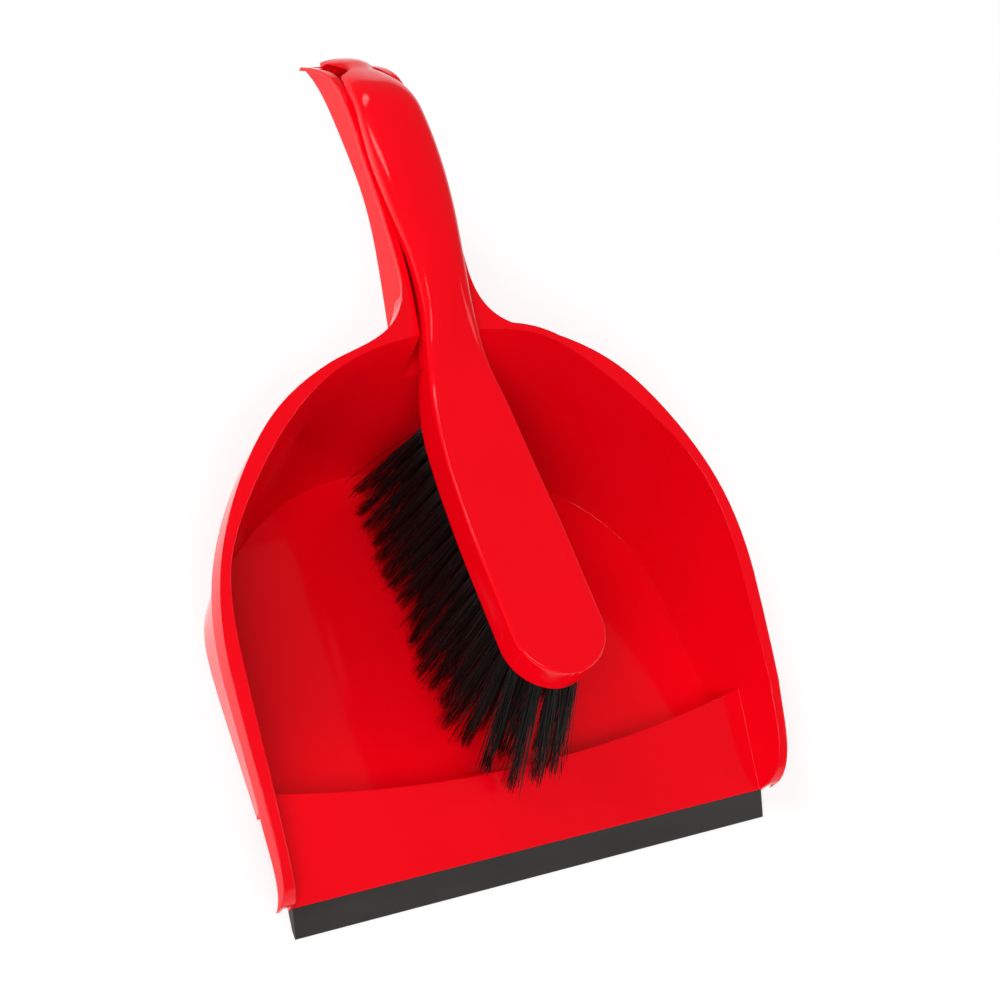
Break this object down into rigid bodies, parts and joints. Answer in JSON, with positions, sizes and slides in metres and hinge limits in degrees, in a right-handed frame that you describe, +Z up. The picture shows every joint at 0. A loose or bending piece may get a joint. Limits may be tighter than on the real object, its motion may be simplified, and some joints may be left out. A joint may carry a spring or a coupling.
{
  "type": "dustpan and brush",
  "caption": "Deep-sided dustpan with a rubber lip and a hand brush that rests on the pan's trough-shaped handle.",
  "frame": {"origin": "on the table, under the middle of the bounding box", "axes": "+Y from the rubber lip to the end of the handle, +Z up, +X to the right of someone looking along +Y"},
  "size_m": [0.236, 0.331, 0.1129],
  "materials": {
    "pan_plastic": "glossy moulded polypropylene, red",
    "brush_plastic": "glossy moulded polypropylene, red",
    "lip_rubber": "matt dark grey rubber",
    "bristle": "black synthetic bristle",
    "anchor_steel": "plain stamped plate"
  },
  "bodies": {
    "dustpan": {"pan_shell": "pan_plastic", "lip_strip": "lip_rubber"},
    "brush": {"brush_body": "brush_plastic", "tuft_row_1": "bristle", "tuft_row_2": "bristle", "tuft_row_3": "bristle", "tuft_row_4": "bristle", "tuft_row_5": "bristle", "tuft_anchors_1": "anchor_steel", "tuft_anchors_2": "anchor_steel", "tuft_anchors_3": "anchor_steel", "tuft_anchors_4": "anchor_steel", "tuft_anchors_5": "anchor_steel"}
  },
  "joints": [
    {"name": "brush_lift", "type": "slide", "parent": "dustpan", "child": "brush", "axis": [0, 0, 1], "range_m": [0, 0.25]}
  ]
}
